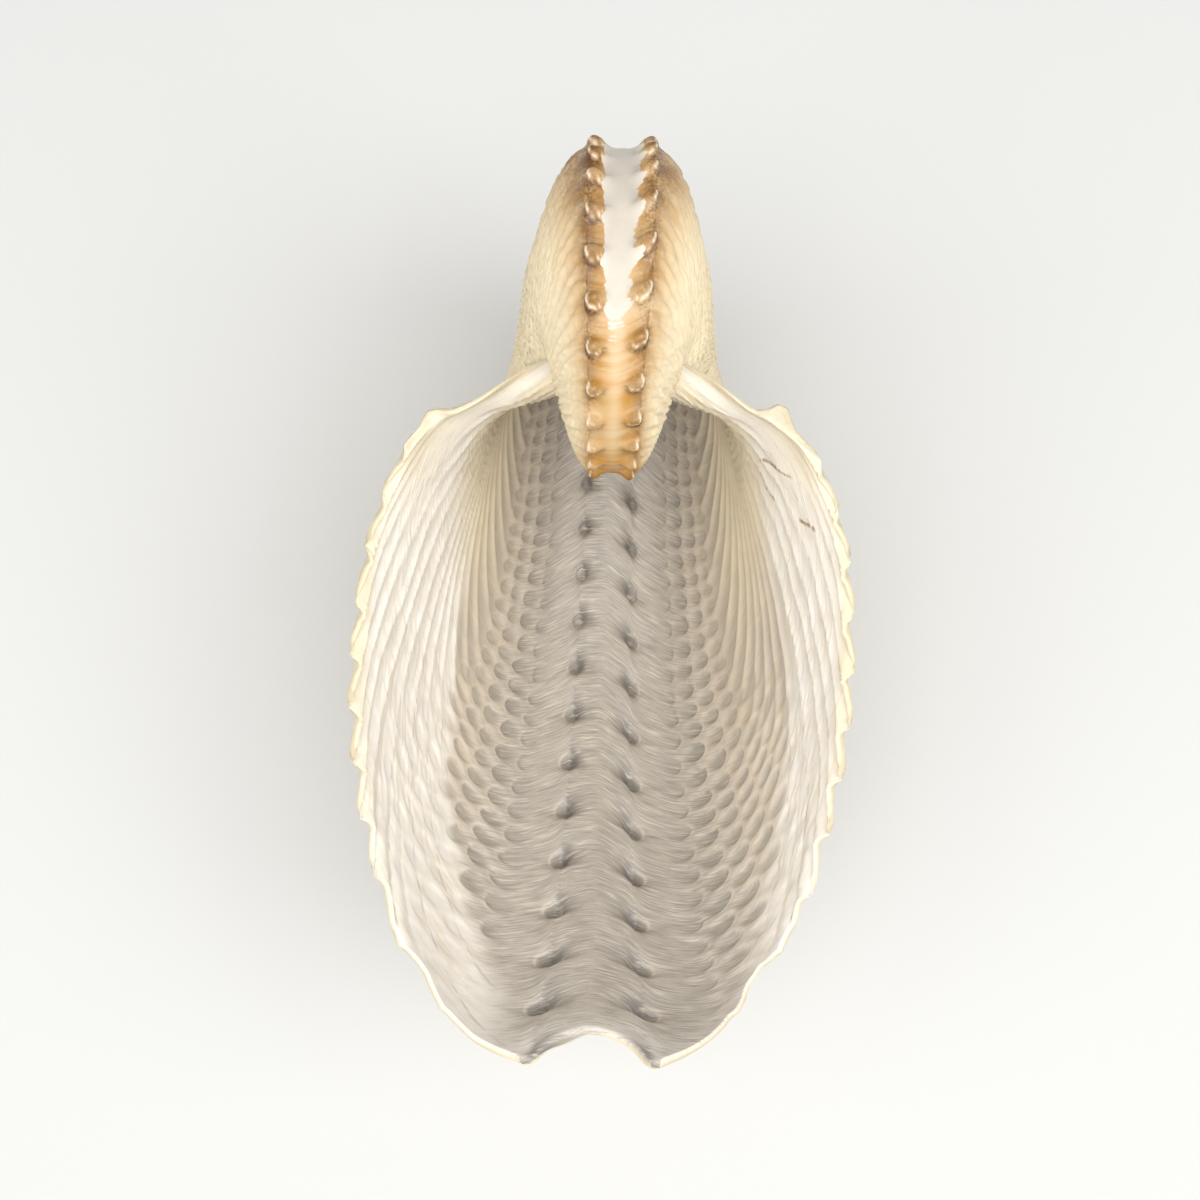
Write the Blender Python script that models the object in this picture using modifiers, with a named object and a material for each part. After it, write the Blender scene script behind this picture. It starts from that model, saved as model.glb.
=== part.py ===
# Knobbed argonaut shell, lying on its keel with the aperture facing up.
# Metres, +Z up. +Y runs from the lip to the coiled end and +X to the right-hand flank.
# The shell is one thin wall. A growth line, from one flank over the keel to the other, is
# turned about the coiling axis and shrinks evenly with the angle, back to the first turns.
import math

import bpy
import numpy as np

# sizes
LIP_RADIUS = 0.1105           # coiling axis to the middle of the lip
EXPANSION = 7.65              # growth of the radius in one full turn
FLANK_WALL = 0.0010
KEEL_WALL = 0.0018
ARM_WALL = 0.0021             # the rolled bars that join the lip to the coil
KEEL_KNOB = 0.0024            # height of the knobs along the keel's two edges
FLANK_KNOB = 0.0017           # height of the knobs on the flanks
FLAT_DEPTH = 0.0009           # how much the flat spot takes off the lowest knobs
SEAM_GAP = 0.0006             # between a turn's inner edge and the turn before it
FULL_SEAM_RADIUS = 0.040      # turns smaller than this have a smaller gap
FULL_KEEL_RADIUS = 0.030      # and smaller keel knobs
FULL_FLANK_RADIUS = 0.050     # and smaller flank knobs
FULL_WALL_RADIUS = 0.045      # and a thinner wall
LEAST_SEAM = 0.3              # share of the gap left at the first turns
LEAST_WALL = 0.35             # share of the wall left at the first turns

# place: the coiling axis runs along X, and the shell leans until it balances on the keel
LEAN = math.radians(8.5)
AXIS_X = 0.0004
AXIS_Y = 0.0342
KEEL_REACH = 0.0765           # the axis above the tips of the lowest knobs
AXIS_Z = KEEL_REACH - FLAT_DEPTH

# growth angles in degrees, back from the lip
LIP_ANGLE = -2.5
FIRST_ANGLE = 500.0

# half a growth line, in shares of the radius: across, outward and forward of the turning plane
GROWTH_LINE = np.array([
    (0.000, 0.990, -0.050),
    (0.050, 0.998, -0.030),
    (0.095, 1.018, 0.000),
    (0.165, 0.998, 0.010),
    (0.270, 0.880, 0.012),
    (0.336, 0.700, 0.008),
    (0.375, 0.410, 0.000),
    (0.344, 0.170, 0.010),
    (0.288, 0.062, 0.028),
    (0.200, 0.008, 0.034),
    (0.112, -0.034, -0.006),
])
CREST = 2                     # the point of the growth line that carries the keel's knobs
BEND = 7                      # the point where the flank bends in towards the coil
FLANK_ROWS = 8                # rows from the keel's crest to the bend
KEEL_FADE = 0.10              # how far the keel's own width reaches into the flank, over the radius
LEFT_FLARE = 0.035            # the left flank stands this much wider at the lip
FLARE_REACH = 1.05            # along the growth line, over the radius
FLARE_TURN = 25.0             # degrees back from the lip
KEEL_WALL_REACH = 0.06        # where the wall is thicker: along the growth line, over the radius
ARM_FROM_EDGE = 0.14
ARM_REACH = 0.08
ARM_ANGLE = 9.0               # and degrees back from the lip
ARM_TURN = 12.0

# a knob's top and the dip beside it, in shares of its height
KEEL_TOP = 0.75
KEEL_DIP = -0.25
FLANK_TOP = 0.7
FLANK_DIP = -0.3

# by growth angle: width of the flanks, half-width of the keel, degrees from knob to knob
WIDTH_AT = (-10, 0, 30, 60, 110, 180, 270, 360)
WIDTH = (1.02, 1.00, 0.94, 0.87, 0.83, 0.95, 1.13, 1.20)
KEEL_AT = (-6, 0, 10, 22, 41, 77, 180, 230, 270, 340, 450, 540)
KEEL_HALF = (0.0112, 0.0099, 0.0085, 0.0073, 0.0063, 0.0051, 0.0056, 0.0054, 0.0044, 0.0037, 0.0024,
             0.0015)
PITCH_AT = (0, 50, 85, 205, 230, 330, 345)
KNOB_PITCH = (6.4, 6.9, 7.5, 13.0, 14.7, 14.7, 24.0)
LAG_AT = (0, 30, 80, 210, 320)
KNOB_LAG = (0.0, 2.8, 3.5, 6.0, 2.0)

# half the steps that give the outward normal: degrees, and along the growth line
TURN_STEP = 0.2
LINE_STEP = 0.002

FLOOR_BLOCK = (0.20, 0.20, 0.04)
SHELL_COLOUR = (0.80, 0.70, 0.53, 1.0)


def clear_scene():
    for thing in list(bpy.data.objects):
        bpy.data.objects.remove(thing, do_unlink=True)


def material(name, colour, roughness):
    made = bpy.data.materials.new(name)
    made.use_nodes = True
    shader = made.node_tree.nodes["Principled BSDF"]
    shader.inputs["Base Color"].default_value = colour
    shader.inputs["Roughness"].default_value = roughness
    shader.inputs["Metallic"].default_value = 0.0
    return made


def smooth_through(places, values, at):
    # a cubic curve through the values, with each slope taken from its neighbours
    slopes = np.gradient(values, places, axis=0)
    left = np.clip(np.searchsorted(places, at, side="right") - 1, 0, len(places) - 2)
    span = (places[left + 1] - places[left])[..., None]
    s = (at - places[left])[..., None] / span
    start, end = values[left], values[left + 1]
    rise = (s**3 - 2 * s**2 + s) * slopes[left] + (s**3 - s**2) * slopes[left + 1]
    return (2 * s**3 - 3 * s**2 + 1) * start + (3 * s**2 - 2 * s**3) * end + rise * span


STEPS = np.linalg.norm(np.diff(GROWTH_LINE, axis=0), axis=1)
ALONG = np.concatenate([[0.0], np.cumsum(STEPS)])
CREST_ALONG = ALONG[CREST]
BEND_ALONG = ALONG[BEND]
EDGE_ALONG = ALONG[-1]
# where a turn's inner edge meets the turn before: degrees back, and the place on its growth line
MET_TURN = 186.0
MET_ALONG = 0.82 * EDGE_ALONG
MET_ACROSS = smooth_through(ALONG, GROWTH_LINE, np.array([MET_ALONG]))[0, 0]


def radius(angle):
    return LIP_RADIUS * EXPANSION ** (-angle / 360.0)


def smooth_surface(angle, along):
    # points of the wall without its knobs; along is negative on the left flank
    side = np.sign(along)
    reach = np.abs(along)
    crest_share = np.clip(reach / CREST_ALONG, 0.0, 1.0)
    turned = angle - 0.5 * side * crest_share * np.interp(angle, LAG_AT, KNOB_LAG)
    r = radius(turned)
    line = smooth_through(ALONG, GROWTH_LINE, reach)
    own = np.interp(turned, WIDTH_AT, WIDTH)
    # the inner edge lies just outside the flank of the turn before, half a turn back
    met_width = np.interp(turned + MET_TURN, WIDTH_AT, WIDTH) * radius(turned + MET_TURN)
    edge_across = MET_ACROSS * met_width + SEAM_GAP * np.clip(r / FULL_SEAM_RADIUS, LEAST_SEAM, 1.0)
    to_edge = np.clip((reach - MET_ALONG) / (EDGE_ALONG - MET_ALONG), 0.0, 1.0)
    to_edge = to_edge * to_edge * (3.0 - 2.0 * to_edge)
    width = own * (1.0 - to_edge) + edge_across / (GROWTH_LINE[-1, 0] * r) * to_edge
    across = line[..., 0] * width * r
    keel_shift = np.interp(turned, KEEL_AT, KEEL_HALF) - GROWTH_LINE[CREST, 0] * own * r
    past_crest = np.clip(reach - CREST_ALONG, 0.0, None)
    across = across + keel_shift * crest_share * np.exp(-past_crest / KEEL_FADE)
    flare_place = np.sin(math.pi * np.clip(reach / FLARE_REACH, 0.0, 1.0))
    flare = flare_place * np.exp(-np.clip(turned, 0.0, None) / FLARE_TURN)
    across = across * (1.0 + LEFT_FLARE * flare * (side < 0))
    turn = np.radians(turned) + LEAN
    down = r * (line[..., 1] * np.cos(turn) + line[..., 2] * np.sin(turn))
    back = r * (line[..., 1] * np.sin(turn) - line[..., 2] * np.cos(turn))
    return np.stack([AXIS_X + side * across, AXIS_Y - down, AXIS_Z - back], axis=-1)


def column_angles():
    # two columns to a knob: one on its top and one in the dip after it
    angles = [LIP_ANGLE]
    while angles[-1] < FIRST_ANGLE:
        angles.append(angles[-1] + 0.5 * float(np.interp(angles[-1], PITCH_AT, KNOB_PITCH)))
    return np.array(angles)


def row_places():
    flank = np.linspace(CREST_ALONG, BEND_ALONG, FLANK_ROWS + 1)
    half = np.concatenate([[0.5 * CREST_ALONG], flank, ALONG[BEND + 1:]])
    return np.concatenate([-half[::-1], [0.0], half])


def knob_heights(columns, rows, angles):
    # tops and dips by turns: along the keel's edges, and as a chequer on the flanks
    keel_size = np.clip(radius(angles) / FULL_KEEL_RADIUS, 0.0, 1.0)
    flank_size = np.clip(radius(angles) / FULL_FLANK_RADIUS, 0.0, 1.0) ** 2
    reach = np.abs(rows)
    on_crest = np.isclose(reach, CREST_ALONG)
    flank_row = np.rint((reach - CREST_ALONG) / (BEND_ALONG - CREST_ALONG) * FLANK_ROWS).astype(int)
    on_flank = (flank_row > 0) & (flank_row < FLANK_ROWS)
    keel_top = np.where(columns % 2 == 0, KEEL_TOP, KEEL_DIP)
    on_top = (columns[:, None] + flank_row[None, :]) % 2 == 0
    flank_top = np.where(on_top, FLANK_TOP, FLANK_DIP)
    keel = KEEL_KNOB * (keel_top * keel_size)[:, None] * on_crest[None, :]
    flank = FLANK_KNOB * flank_top * flank_size[:, None] * on_flank[None, :]
    return keel + flank


def wall_shares(angles, rows):
    # the wall's thickness over the arms' thickness, which is the greatest
    reach = np.abs(rows)
    keel = np.exp(-(np.clip(reach - CREST_ALONG, 0.0, None) / KEEL_WALL_REACH) ** 2)
    arm_place = np.exp(-((reach - (EDGE_ALONG - ARM_FROM_EDGE)) / ARM_REACH) ** 2)
    arm = np.exp(-((angles - ARM_ANGLE) / ARM_TURN) ** 2)
    size = np.clip(radius(angles) / FULL_WALL_RADIUS, LEAST_WALL, 1.0)
    wall = (FLANK_WALL + (KEEL_WALL - FLANK_WALL) * keel[None, :]) * size[:, None]
    wall = wall + (ARM_WALL - FLANK_WALL) * arm[:, None] * arm_place[None, :]
    return np.clip(wall / ARM_WALL, 0.0, 1.0)


def build_shell(home, look):
    angles = column_angles()
    rows = row_places()
    columns = np.arange(len(angles))
    angle, along = np.meshgrid(angles, rows, indexing="ij")
    points = smooth_surface(angle, along)
    # the outward normal, from two small steps on the smooth wall
    by_angle = smooth_surface(angle + TURN_STEP, along) - smooth_surface(angle - TURN_STEP, along)
    inner = np.clip(along - LINE_STEP, -EDGE_ALONG, EDGE_ALONG)
    outer = np.clip(along + LINE_STEP, -EDGE_ALONG, EDGE_ALONG)
    by_along = smooth_surface(angle, outer) - smooth_surface(angle, inner)
    normal = np.cross(by_angle, by_along)
    normal /= np.linalg.norm(normal, axis=-1, keepdims=True)
    points = points + normal * knob_heights(columns, rows, angles)[..., None]

    across = len(rows)
    corner = (columns[:-1, None] * across + np.arange(across - 1)[None, :]).ravel()
    faces = np.stack([corner, corner + across, corner + across + 1, corner + 1], axis=-1)
    mesh = bpy.data.meshes.new("shell")
    mesh.from_pydata(points.reshape(-1, 3).tolist(), [], faces.tolist())
    mesh.materials.append(look)
    shell = bpy.data.objects.new("shell", mesh)
    home.objects.link(shell)

    wall = shell.vertex_groups.new(name="wall")
    for index, share in enumerate(wall_shares(angles, rows).ravel()):
        wall.add([index], float(share), "REPLACE")
    thicken = shell.modifiers.new("wall", "SOLIDIFY")
    thicken.thickness = ARM_WALL
    thicken.offset = -1.0
    thicken.vertex_group = wall.name
    mesh.shade_smooth()
    return shell


def cut_flat_spot(shell, cutters):
    # a block whose top is the surface that the shell rests on takes the lowest knobs' tips
    bpy.ops.mesh.primitive_cube_add(size=1.0)
    block = bpy.context.object
    block.name = "floor_cutter"
    block.scale = FLOOR_BLOCK
    block.location = (0.0, 0.0, -0.5 * FLOOR_BLOCK[2])
    for owner in list(block.users_collection):
        owner.objects.unlink(block)
    cutters.objects.link(block)
    block.hide_render = True
    block.display_type = "WIRE"
    cut = shell.modifiers.new("flat spot", "BOOLEAN")
    cut.operation = "DIFFERENCE"
    cut.solver = "EXACT"
    cut.object = block


def collection(name):
    made = bpy.data.collections.new(name)
    bpy.context.scene.collection.children.link(made)
    return made


def main():
    clear_scene()
    home = collection("knobbed_argonaut_shell")
    cutters = collection("cutters")
    shell = build_shell(home, material("calcite", SHELL_COLOUR, 0.45))
    cut_flat_spot(shell, cutters)


main()
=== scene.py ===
import math
import bpy
import numpy as np
from mathutils import Matrix, Vector


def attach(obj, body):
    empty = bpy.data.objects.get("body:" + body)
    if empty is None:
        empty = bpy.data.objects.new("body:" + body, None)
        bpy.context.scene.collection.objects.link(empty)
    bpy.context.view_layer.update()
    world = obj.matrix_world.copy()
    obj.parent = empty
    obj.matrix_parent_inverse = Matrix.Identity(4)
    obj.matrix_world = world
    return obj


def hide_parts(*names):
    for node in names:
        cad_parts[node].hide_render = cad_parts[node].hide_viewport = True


# Knobbed argonaut shell lying on its keel, aperture up. Metres, +Z up, +Y towards the coiled end.
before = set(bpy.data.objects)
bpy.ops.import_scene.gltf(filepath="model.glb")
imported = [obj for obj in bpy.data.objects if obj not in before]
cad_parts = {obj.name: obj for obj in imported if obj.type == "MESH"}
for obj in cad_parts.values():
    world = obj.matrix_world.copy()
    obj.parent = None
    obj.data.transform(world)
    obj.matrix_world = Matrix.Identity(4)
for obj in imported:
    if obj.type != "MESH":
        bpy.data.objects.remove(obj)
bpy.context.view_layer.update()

# the same spiral as the solid: a growth line turned about the coiling axis
shellForm = {
    "lipRadius": 0.1105,       # coiling axis to the middle of the lip
    "expansion": 7.65,         # growth of the radius in a full turn
    "lean": math.radians(8.5),
    "axis": (0.0004, 0.0342, 0.0756),
    "lipAngle": -2.5,          # degrees back from the lip, as all angles here
    "growthLine": np.array([   # across, outward, forward, in shares of the radius
        (0.000, 0.990, -0.050), (0.050, 0.998, -0.030), (0.095, 1.018, 0.000), (0.165, 0.998, 0.010),
        (0.270, 0.880, 0.012), (0.336, 0.700, 0.008), (0.375, 0.410, 0.000), (0.344, 0.170, 0.010),
        (0.288, 0.062, 0.028), (0.200, 0.008, 0.034), (0.112, -0.034, -0.006)]),
    "crest": 2,                # point of the growth line that carries the keel's knobs
    "keelFade": 0.10,          # reach over which the flank takes up the keel's own width
    "crestSoft": 0.008,        # rounding of the keel's edges, over the radius
    "leftFlare": (0.035, 1.05, 25.0),   # share of width, reach, degrees over which it dies out
    "widthAt": (-10, 0, 30, 60, 110, 180, 270, 360),
    "width": (1.005, 0.985, 0.93, 0.862, 0.83, 0.95, 1.13, 1.20),
    "keelAt": (-6, 0, 10, 22, 41, 77, 180, 230, 270, 340, 450, 540),
    "keelHalf": (0.0112, 0.0099, 0.0085, 0.0073, 0.0063, 0.0051, 0.0056, 0.0054, 0.0044, 0.0037,
                 0.0024, 0.0015),
    "pitchAt": (0, 50, 85, 205, 230),
    "knobPitch": (6.4, 6.9, 7.5, 13.0, 14.7),
    "lagAt": (0, 30, 80, 210, 320),
    "knobLag": (0.0, 2.8, 3.5, 6.0, 2.0),
    "metTurn": 186.0,          # a turn's inner edge lies on the flank of the turn before
    "metShare": 0.82,
    "seamGap": -0.0002,
    "startAngle": 520.0,       # innermost end of the turns
    "fullSeamRadius": 0.040,
}


def smoothThrough(places, values, at):
    # cubic Hermite curve: (2s3-3s2+1)a + (3s2-2s3)b + slopes, each slope from the neighbours, and level
    # at the keel's middle, where the two flanks mirror each other
    slopes = np.gradient(values, places, axis=0)
    slopes[0, 1:] = 0.0
    left = np.clip(np.searchsorted(places, at, side="right") - 1, 0, len(places) - 2)
    span = (places[left + 1] - places[left])[..., None]
    s = (at - places[left])[..., None] / span
    rise = (s**3 - 2 * s**2 + s) * slopes[left] + (s**3 - s**2) * slopes[left + 1]
    return (2 * s**3 - 3 * s**2 + 1) * values[left] + (3 * s**2 - 2 * s**3) * values[left + 1] + rise * span


def ease(low, high, value):
    # 3x2 - 2x3 between low and high
    x = np.clip((value - low) / (high - low), 0.0, 1.0)
    return x * x * (3.0 - 2.0 * x)


def zone(start, stop, value):
    # 1 between two soft limits, each a pair of places: rises over `start`, falls over `stop`
    return ease(*start, value) * (1.0 - ease(*stop, value))


def bell(value, middle, reach):
    # exp(-((value - middle) / reach)^2)
    return np.exp(-((value - middle) / reach) ** 2)


def behindLip(angle):
    # degrees back from the lip, none in front of it
    return np.clip(angle - shellForm["lipAngle"], 0.0, None)


line = shellForm["growthLine"]
linePlaces = np.concatenate([[0.0], np.cumsum(np.linalg.norm(np.diff(line, axis=0), axis=1))])
crestAt = linePlaces[shellForm["crest"]]
edgeAt = linePlaces[-1]
metAt = shellForm["metShare"] * edgeAt
metAcross = smoothThrough(linePlaces, line, np.array([metAt]))[0, 0]


def radius(angle):
    # lipRadius * expansion^(-angle / 360)
    return shellForm["lipRadius"] * shellForm["expansion"] ** (-angle / 360.0)


def smoothWall(angle, along):
    # growth line at `along` (negative on the left flank), scaled by the radius and turned by the angle
    f = shellForm
    side = np.sign(along)
    reach = np.abs(along)
    # soft corner: s log(1 + exp(x / s)) stands for the part of x above 0
    before = f["crestSoft"] * np.logaddexp(0.0, (crestAt - reach) / f["crestSoft"])
    past = f["crestSoft"] * np.logaddexp(0.0, (reach - crestAt) / f["crestSoft"])
    crestShare = 1.0 - before / crestAt
    turned = angle - 0.5 * side * crestShare * np.interp(angle, f["lagAt"], f["knobLag"])
    r = radius(turned)
    place = smoothThrough(linePlaces, line, reach)
    own = np.interp(turned, f["widthAt"], f["width"])
    metWidth = np.interp(turned + f["metTurn"], f["widthAt"], f["width"]) * radius(turned + f["metTurn"])
    edgeAcross = metAcross * metWidth + f["seamGap"] * np.clip(r / f["fullSeamRadius"], 0.3, 1.0)
    toEdge = ease(metAt, edgeAt, reach)
    width = own * (1.0 - toEdge) + edgeAcross / (line[-1, 0] * r) * toEdge
    across = place[..., 0] * width * r
    keelShift = np.interp(turned, f["keelAt"], f["keelHalf"]) - line[f["crest"], 0] * own * r
    across = across + keelShift * crestShare * np.exp(-past / f["keelFade"])
    flareBy, flareReach, flareTurn = f["leftFlare"]
    flare = np.sin(math.pi * np.clip(reach / flareReach, 0.0, 1.0))
    flare = flare * np.exp(-np.clip(turned, 0.0, None) / flareTurn)
    across = across * (1.0 + flareBy * flare * (side < 0))
    turn = np.radians(turned) + f["lean"]
    down = r * (place[..., 1] * np.cos(turn) + place[..., 2] * np.sin(turn))
    back = r * (place[..., 1] * np.sin(turn) - place[..., 2] * np.cos(turn))
    axis = f["axis"]
    return np.stack([axis[0] + side * across, axis[1] - down, axis[2] - back], axis=-1)


# ribs are counted from the lip: two to each keel knob, as the pitch table gives them
def ribTable():
    angles = [shellForm["lipAngle"]]
    while angles[-1] < shellForm["startAngle"] + 40.0:
        angles.append(angles[-1] + 0.5 * float(np.interp(angles[-1], shellForm["pitchAt"], shellForm["knobPitch"])))
    return np.array(angles)


ribAngles = ribTable()


def ribCount(angle):
    # whole numbers on the ribs, and in front of the lip the first spacing goes on
    first = ribAngles[1] - ribAngles[0]
    counted = np.interp(angle, ribAngles, np.arange(len(ribAngles), dtype=float))
    return np.where(angle < ribAngles[0], (angle - ribAngles[0]) / first, counted)


ornament = {
    # keel knobs
    "keelKnob": 0.0022,        # height
    "keelBase": 0.30,          # share of it that the keel sinks between them
    "knobFall": (0.20, 0.30),  # ends towards the lip and back, in knob spacings
    "keelRise": (0.010, 0.100),
    "keelFall": (0.106, 0.142),
    "keelSweep": 1.5,          # degrees that striae and the knobs' ridges lag at the crest behind the growth line
    "fullKeelRadius": 0.030,
    "boss": 0.0011,            # height of the oval top of each
    "bossHalf": (0.026, 0.033),    # half its width on the last turn and on the old ones
    "bossSpan": (0.04, 0.20),  # its middle and half its length, in knob spacings
    "bossIn": 0.026,           # on the old turns it lies this much inside the crest
    "pitAt": (0.08, 0.098),    # deepest place of the pit behind a knob, in spacings and reach
    "pitSpan": (0.11, 0.26),   # towards the lip and back
    "pitReach": (0.046, 0.018),    # in and out
    # flank knobs
    "flankKnob": 0.0015,       # height at the lip's radius
    "firstColumn": 0.139,      # first column along the growth line, over the radius
    "columnStep": 0.0757,
    "knobSpan": (0.54, 0.43),  # half size across and along the turn, in columns and in rib spacings
    "flankSweep": 34.0,        # degrees for each radius by which striae run towards the lip
    "striaBend": (0.24, 0.6, 0.5),  # this far past the crest they run on at this share of it, for so long
    "knobLean": 28.0,          # degrees for each radius by which the knobs lean beyond them
    "drift": 0.16,             # share of a spacing by which they stray
    "fullFlankRadius": 0.1105,
    # ribs that the knobs run out into
    "rib": 0.0008,
    "ribRun": (0.50, 0.76),    # reach over which knobs give way to ribs
    "armSooner": 0.14,         # towards the arms they do so sooner
    # degrees that a rib climbs back for each radius along the growth line, and the most it may near the lip
    "climb": ((0.0, 0.48, 0.60, 0.70, 0.80, 0.87, 1.0, 1.41), (28, 33, 72, 120, 220, 380, 450, 450)),
    "climbLimit": ((0, 60, 100, 140, 600), (40, 310, 200, 110, 110)),
    "joinFrom": -3.0,          # ribs from the keel join two by two, the ones from the lip don't
    "wrinkle": 0.00007,        # fine creases of the pale zone
    "margin": 0.0014,          # cusps across the wall at the lip
    "marginTurn": 4.0,
    "fold": 0.0009,            # soft folds of the old turns
    "foldSweep": 22.0,
    "oldFrom": (100, 160),     # growth angles over which the old turns' ways set in
}


courseSteps = (0.5, 0.005)     # degrees and reach between the entries of the table


def ribCourse():
    # table of the rib count over angle and reach: it stays the same along a rib, which climbs by
    # (climb^-3 + limit^-3)^(-1/3) degrees for each radius along the growth line
    o = ornament
    start = o["firstColumn"]
    gGrid = np.arange(-14.0, 600.0, courseSteps[0])
    tGrid = np.arange(0.0, 1.42, courseSteps[1])
    counts = np.zeros((len(tGrid), len(gGrid)))
    pitch = ribAngles[1] - ribAngles[0]
    fromLip = behindLip(gGrid)
    atMargin = 0.0
    for k, t in enumerate(tGrid):
        if t <= start:
            counts[k] = ribCount(gGrid)
            continue
        step = t - max(tGrid[k - 1], start)
        limit = np.interp(fromLip, *o["climbLimit"])
        climb = (np.interp(t, *o["climb"]) ** -3.0 + limit ** -3.0) ** (-1.0 / 3.0)
        atMargin -= climb[0] * step / pitch
        moved = gGrid - climb * step
        counts[k] = np.interp(moved, gGrid, counts[k - 1])
        before = gGrid < shellForm["lipAngle"]
        counts[k][before] = atMargin + (gGrid[before] - shellForm["lipAngle"]) / pitch
    return gGrid, tGrid, counts


courseAngles, courseReaches, courseCounts = ribCourse()


def courseAt(angle, reach):
    # bilinear lookup in the table
    i = np.clip((reach - courseReaches[0]) / courseSteps[1], 0, len(courseReaches) - 1.001)
    j = np.clip((angle - courseAngles[0]) / courseSteps[0], 0, len(courseAngles) - 1.001)
    i0, j0 = i.astype(int), j.astype(int)
    u, v = i - i0, j - j0
    low = courseCounts[i0, j0] * (1 - v) + courseCounts[i0, j0 + 1] * v
    high = courseCounts[i0 + 1, j0] * (1 - v) + courseCounts[i0 + 1, j0 + 1] * v
    return low * (1 - u) + high * u


def stray(angle, along, seed):
    # slow unevenness of a grown pattern, -1 to 1: a few sines that don't repeat together
    return (np.sin(angle * 0.31 + along * 9.0 + seed) + np.sin(angle * 0.173 - along * 14.0 + 2.1 * seed)
            + np.sin(angle * 0.53 + along * 23.0 + 3.7 * seed)) / 3.0


paleZone = {
    # inside, the wall is pale from the lip back to a line that climbs to the ear, higher on the right
    "left": ((-5, 5, 10, 20, 30, 40, 50, 60, 80), (0.15, 0.18, 0.25, 0.44, 0.55, 0.64, 0.70, 0.74, 0.82)),
    "right": ((-5, 3, 8, 15, 22, 30, 50, 80), (0.24, 0.32, 0.42, 0.60, 0.72, 0.79, 0.88, 0.95)),
    "leftSoft": ((0, 25), (0.055, 0.035)),
    "rightSoft": 0.085,
    "weakens": (50, 85),
}


def paleAt(angle, along):
    # ease over the distance past the line, half as strong far back
    z = paleZone
    edge = np.where(along < 0, np.interp(angle, *z["left"]), np.interp(angle, *z["right"]))
    soft = np.where(along < 0, np.interp(angle, *z["leftSoft"]), z["rightSoft"])
    return ease(-1.0, 1.0, (np.abs(along) - edge) / soft) * (1.0 - 0.5 * ease(*z["weakens"], angle))


def scales(angle, ribPhase, column):
    # knobs stand on whole columns and ribs; each is a disc d < 1 that rises away from the keel and ends there in
    # a sharp round edge, like a scale: h = (1 - ease(d)) (0.35 + 0.65 rise)
    pitch = 0.5 * np.interp(angle, shellForm["pitchAt"], shellForm["knobPitch"])
    shear = ornament["columnStep"] * (ornament["flankSweep"] + ornament["knobLean"]) / pitch
    spanColumn, spanRib = ornament["knobSpan"]
    height = np.zeros_like(column)
    rim = np.zeros_like(column)
    for step in (0.0, 1.0):
        own = np.floor(column) + step
        du = (column - own) / spanColumn
        dv = ribPhase + shear * (column - own)
        dv = (dv - np.round(dv)) / spanRib
        d = np.sqrt(du**2 + dv**2)
        rise = np.clip(0.5 + 0.5 * du, 0.0, 1.0)
        low = 0.25 + 0.50 * rise
        height = np.maximum(height, (1.0 - ease(low, 1.0, d)) * (0.35 + 0.65 * rise))
        # rim: share of painted highlight on each scale's raised edge
        rim = np.maximum(rim, bell(d, 1.03, 0.13) * ease(0.45, 0.95, rise))
    return height, rim


def keelAt(angle, reach, old):
    # lift of the keel's knobs, and shares of the painted shade in the pit inside, of the painted highlight on the
    # hooked rim and of the painted shadow round it
    o = ornament
    size = np.clip(radius(angle) / o["fullKeelRadius"], 0.0, 1.0)
    # each knob falls off sharply towards the lip and gently back; its ridge bows over the keel floor
    swept = angle + o["keelSweep"] * (1.0 - np.clip(reach / crestAt, 0.0, 1.0) ** 2)
    fromKnob = 0.5 * ribCount(swept)
    fromKnob = fromKnob - np.round(fromKnob)
    front, tail = o["knobFall"]
    tooth = np.where(fromKnob < 0, ease(-front, 0.0, fromKnob), bell(fromKnob, 0.0, tail))
    ridge = 0.25 * bell(reach, crestAt, 0.05) + 0.75 * zone(o["keelRise"], o["keelFall"], reach)
    lift = o["keelKnob"] * (tooth - o["keelBase"]) * ridge
    # and carries an oval boss d < 1, flattest where the old turns begin
    middle = crestAt - o["bossIn"] * old
    half = o["bossHalf"][0] + (o["bossHalf"][1] - o["bossHalf"][0]) * old
    bossAt, bossLength = o["bossSpan"]
    d = np.sqrt(((reach - middle) / half) ** 2 + ((fromKnob - bossAt) / bossLength) ** 2)
    worn = (0.65 - 0.30 * ease(205, 235, angle)) * old
    lift = lift + o["boss"] * (1.0 - worn) * bell(d, 0.0, 0.85)
    lift = lift * size * (0.35 + 0.65 * ease(0.0, 3.0, behindLip(angle)))

    # pit: share of painted shade in the pocket behind each knob, inside
    pitPlace, pitAcross = o["pitAt"]
    pit = bell(fromKnob, pitPlace, np.where(fromKnob < pitPlace, *o["pitSpan"]))
    pit = pit * bell(reach, pitAcross, np.where(reach < pitAcross, *o["pitReach"]))
    # rim: share of painted highlight on the boss's hooked outer edge
    toHook = np.maximum((reach - middle) / half, 0.80 * fromKnob / bossLength)
    rim = 1.2 * bell(d, 0.94, 0.13) * ease(0.25, 0.80, toHook) * ease(0.0, 4.0, behindLip(angle))
    # shade: share of painted shadow round the boss, behind it
    shade = bell(d, 1.40, 0.30) * ease(0.0, 0.5, fromKnob / bossLength)
    return lift, pit, np.minimum(rim, 1.0), shade


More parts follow.
